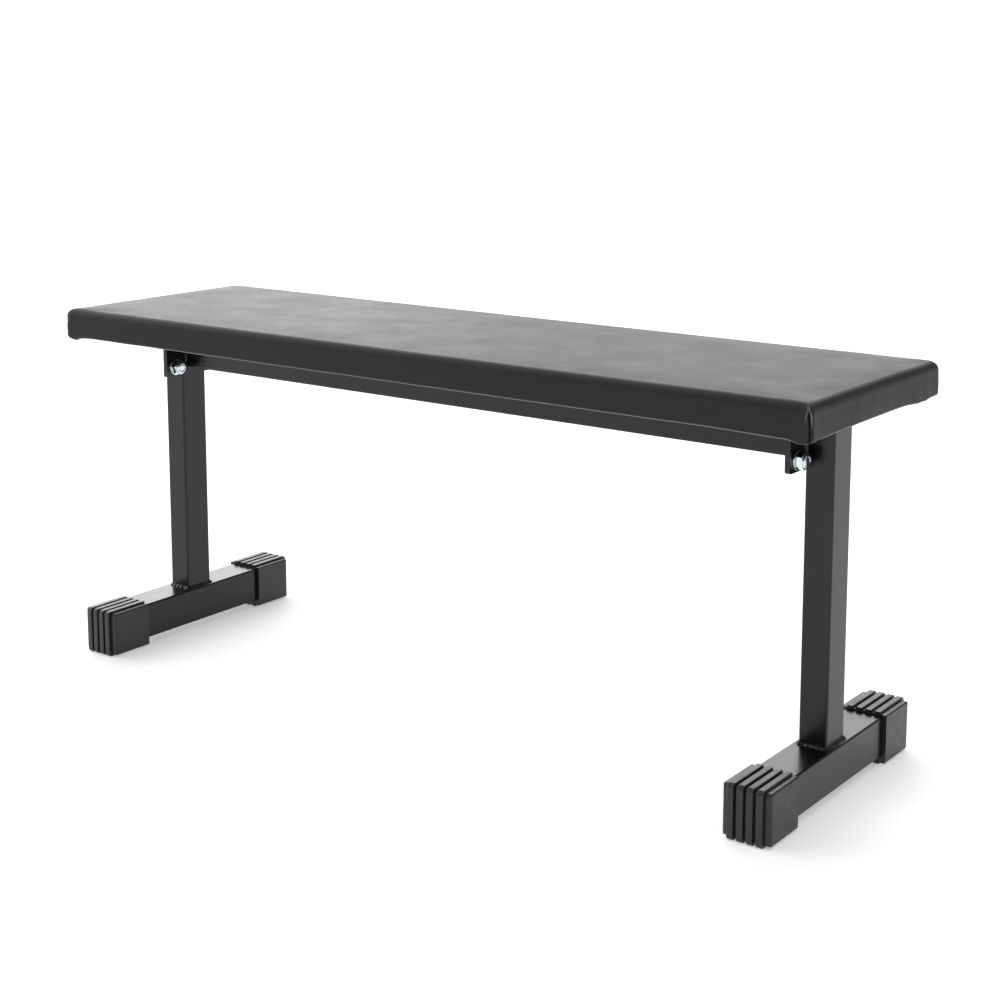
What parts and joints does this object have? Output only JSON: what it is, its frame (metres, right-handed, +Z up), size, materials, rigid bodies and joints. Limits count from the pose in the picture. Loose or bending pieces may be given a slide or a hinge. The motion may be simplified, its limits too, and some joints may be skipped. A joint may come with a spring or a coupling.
{
  "type": "flat weight bench",
  "caption": "Flat weight bench: long upholstered pad on a tubular steel frame, bolted to upright legs with ribbed rubber foot caps.",
  "frame": {"origin": "on the floor under the centre of the bench", "axes": "+X along the pad's length, +Y across its width, +Z up"},
  "size_m": [1.04, 0.324, 0.44],
  "materials": {
    "vinyl": "satin grained vinyl",
    "foam": "open-cell foam",
    "plywood": "black-stained plywood",
    "frame_paint": "satin black powder coat",
    "cap_rubber": "moulded matte rubber",
    "zinc": "bright zinc plating",
    "staple_steel": "galvanised wire"
  },
  "bodies": {
    "root": {"pad_cover": "vinyl", "pad_foam": "foam", "pad_board": "plywood", "pad_staples": "staple_steel", "pad_tee_nuts": "zinc", "spine_rail": "frame_paint", "pad_bracket_left": "frame_paint", "pad_bracket_centre": "frame_paint", "pad_bracket_right": "frame_paint", "seat_plate_left": "frame_paint", "seat_plate_right": "frame_paint", "leg_plate_left": "frame_paint", "leg_plate_right": "frame_paint", "rail_weld_left": "frame_paint", "rail_weld_right": "frame_paint", "post_left": "frame_paint", "post_right": "frame_paint", "foot_tube_left": "frame_paint", "foot_tube_right": "frame_paint", "foot_weld_left": "frame_paint", "foot_weld_right": "frame_paint", "plate_weld_left": "frame_paint", "plate_weld_right": "frame_paint", "foot_cap_left_front": "cap_rubber", "foot_cap_left_back": "cap_rubber", "foot_cap_right_front": "cap_rubber", "foot_cap_right_back": "cap_rubber", "frame_washers": "zinc", "frame_bolts": "zinc", "lock_nuts": "zinc", "pad_washers": "zinc", "pad_bolts": "zinc"}
  },
  "joints": []
}
